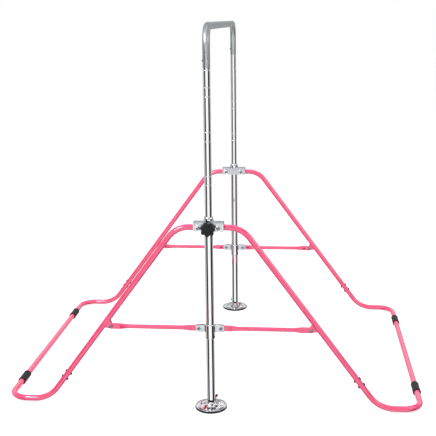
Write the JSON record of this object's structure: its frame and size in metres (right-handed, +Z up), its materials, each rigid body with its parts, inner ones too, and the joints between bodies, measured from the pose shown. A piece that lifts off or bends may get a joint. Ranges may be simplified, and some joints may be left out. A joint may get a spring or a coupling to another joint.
{
  "type": "folding gymnastics bar",
  "caption": "Free-standing folding gymnastics bar: U-shaped crossbar on telescopic posts, splayed tube legs with braces to sliding collars, and floor loops.",
  "frame": {"origin": "on the floor, midway between the two posts", "axes": "+X across the splay of the legs, +Y along the crossbar from the near post to the far post, +Z up"},
  "size_m": [1.5912, 1.27, 1.4135],
  "materials": {
    "post_chrome": "polished",
    "inner_chrome": "polished",
    "bar_grey": "satin",
    "galvanised": "matte zinc",
    "pink_paint": "gloss",
    "black_rubber": "matte",
    "black_plastic": "satin",
    "zinc_bolt": "satin",
    "disc_chrome": "polished",
    "dark_screw": "blackened",
    "nylon": "matte"
  },
  "bodies": {
    "posts": {"near_post": "post_chrome", "far_post": "post_chrome", "near_channel": "galvanised", "far_channel": "galvanised", "collar_rings": "disc_chrome", "guide_bushes": "nylon", "knob_nuts": "zinc_bolt", "pivot_bolts": "zinc_bolt", "pivot_spacers": "nylon", "post_plugs": "black_plastic", "ball_studs": "zinc_bolt"},
    "bar": {"crossbar": "bar_grey", "near_inner_tube": "inner_chrome", "far_inner_tube": "inner_chrome", "joint_screws": "dark_screw", "inner_shoes": "nylon"},
    "near_knob": {"near_knob": "black_plastic", "near_knob_stud": "zinc_bolt"},
    "far_knob": {"far_knob": "black_plastic", "far_knob_stud": "zinc_bolt"},
    "near_runner": {"near_runner_sleeve": "disc_chrome", "near_runner_liner": "nylon", "near_runner_ears": "galvanised", "near_runner_lock_screw": "dark_screw", "near_runner_pins": "zinc_bolt"},
    "near_foot": {"near_foot_disc": "disc_chrome", "near_foot_pad": "black_rubber"},
    "near_foot_lever": {"near_foot_lever": "zinc_bolt"},
    "near_left_brace": {"near_left_brace": "pink_paint", "near_left_brace_rivets": "dark_screw"},
    "near_right_brace": {"near_right_brace": "pink_paint", "near_right_brace_rivets": "dark_screw"},
    "far_runner": {"far_runner_sleeve": "disc_chrome", "far_runner_liner": "nylon", "far_runner_ears": "galvanised", "far_runner_lock_screw": "dark_screw", "far_runner_pins": "zinc_bolt"},
    "far_foot": {"far_foot_disc": "disc_chrome", "far_foot_pad": "black_rubber"},
    "far_foot_lever": {"far_foot_lever": "zinc_bolt"},
    "far_left_brace": {"far_left_brace": "pink_paint", "far_left_brace_rivets": "dark_screw"},
    "far_right_brace": {"far_right_brace": "pink_paint", "far_right_brace_rivets": "dark_screw"},
    "left_legs": {"near_left_leg": "pink_paint", "far_left_leg": "pink_paint", "left_floor_tube": "pink_paint", "left_floor_sleeves": "black_rubber", "left_tabs": "galvanised", "left_tab_pins": "zinc_bolt", "left_splice_bolts": "zinc_bolt", "left_leg_plugs": "black_plastic"},
    "right_legs": {"near_right_leg": "pink_paint", "far_right_leg": "pink_paint", "right_floor_tube": "pink_paint", "right_floor_sleeves": "black_rubber", "right_tabs": "galvanised", "right_tab_pins": "zinc_bolt", "right_splice_bolts": "zinc_bolt", "right_leg_plugs": "black_plastic"}
  },
  "joints": [
    {"name": "bar_height", "type": "slide", "parent": "posts", "child": "bar", "axis": [0, 0, 1], "range_m": [-0.465, 0]},
    {"name": "near_knob_turn", "type": "hinge", "parent": "posts", "child": "near_knob", "pos_m": [0, -0.575, 0.696], "axis": [0, -1, 0], "range_deg": [0, 540]},
    {"name": "far_knob_turn", "type": "hinge", "parent": "posts", "child": "far_knob", "pos_m": [0, 0.575, 0.696], "axis": [0, 1, 0], "range_deg": [0, 540]},
    {"name": "near_runner_slide", "type": "slide", "parent": "posts", "child": "near_runner", "axis": [0, 0, 1], "range_m": [0, 0.20343]},
    {"name": "far_runner_slide", "type": "slide", "parent": "posts", "child": "far_runner", "axis": [0, 0, 1], "range_m": [0, 0.2035]},
    {"name": "near_left_brace_hinge", "type": "hinge", "parent": "near_runner", "child": "near_left_brace", "pos_m": [-0.041, -0.575, 0.314], "axis": [0, 1, 0], "range_deg": [-83.61, 0]},
    {"name": "near_right_brace_hinge", "type": "hinge", "parent": "near_runner", "child": "near_right_brace", "pos_m": [0.041, -0.575, 0.314], "axis": [0, 1, 0], "range_deg": [0, 83.61]},
    {"name": "far_left_brace_hinge", "type": "hinge", "parent": "far_runner", "child": "far_left_brace", "pos_m": [-0.041, 0.575, 0.314], "axis": [0, 1, 0], "range_deg": [-83.61, 0]},
    {"name": "far_right_brace_hinge", "type": "hinge", "parent": "far_runner", "child": "far_right_brace", "pos_m": [0.041, 0.575, 0.314], "axis": [0, 1, 0], "range_deg": [0, 83.61]},
    {"name": "left_leg_fold", "type": "hinge", "parent": "near_left_brace", "child": "left_legs", "pos_m": [-0.37057, -0.575, 0.314], "axis": [0, 1, 0], "range_deg": [0, 47.11]},
    {"name": "right_leg_fold", "type": "hinge", "parent": "near_right_brace", "child": "right_legs", "pos_m": [0.37057, -0.575, 0.314], "axis": [0, 1, 0], "range_deg": [-47.11, 0]},
    {"name": "near_foot_lever_flip", "type": "hinge", "parent": "near_foot", "child": "near_foot_lever", "pos_m": [0.00896, -0.55166, 0.0175], "axis": [-0.9336, 0.3584, 0], "range_deg": [-30, 22]},
    {"name": "near_foot_tilt", "type": "hinge", "parent": "posts", "child": "near_foot", "pos_m": [0, -0.575, 0.018], "axis": [1, 0, 0], "range_deg": [-10, 10]},
    {"name": "far_foot_lever_flip", "type": "hinge", "parent": "far_foot", "child": "far_foot_lever", "pos_m": [-0.01057, 0.59766, 0.0175], "axis": [-0.9063, -0.4226, 0], "range_deg": [-30, 22]},
    {"name": "far_foot_tilt", "type": "hinge", "parent": "posts", "child": "far_foot", "pos_m": [0, 0.575, 0.018], "axis": [1, 0, 0], "range_deg": [-10, 10]}
  ],
  "couplings": [
    {"joint": "far_runner_slide", "follows": "near_runner_slide", "ratio": 1},
    {"joint": "near_left_brace_hinge", "follows": "near_runner_slide", "rad_per_m": -7.1726},
    {"joint": "near_right_brace_hinge", "follows": "near_runner_slide", "rad_per_m": 7.1726},
    {"joint": "far_left_brace_hinge", "follows": "near_runner_slide", "rad_per_m": -7.1726},
    {"joint": "far_right_brace_hinge", "follows": "near_runner_slide", "rad_per_m": 7.1726},
    {"joint": "left_leg_fold", "follows": "near_runner_slide", "rad_per_m": 4.0411},
    {"joint": "right_leg_fold", "follows": "near_runner_slide", "rad_per_m": -4.0411}
  ]
}
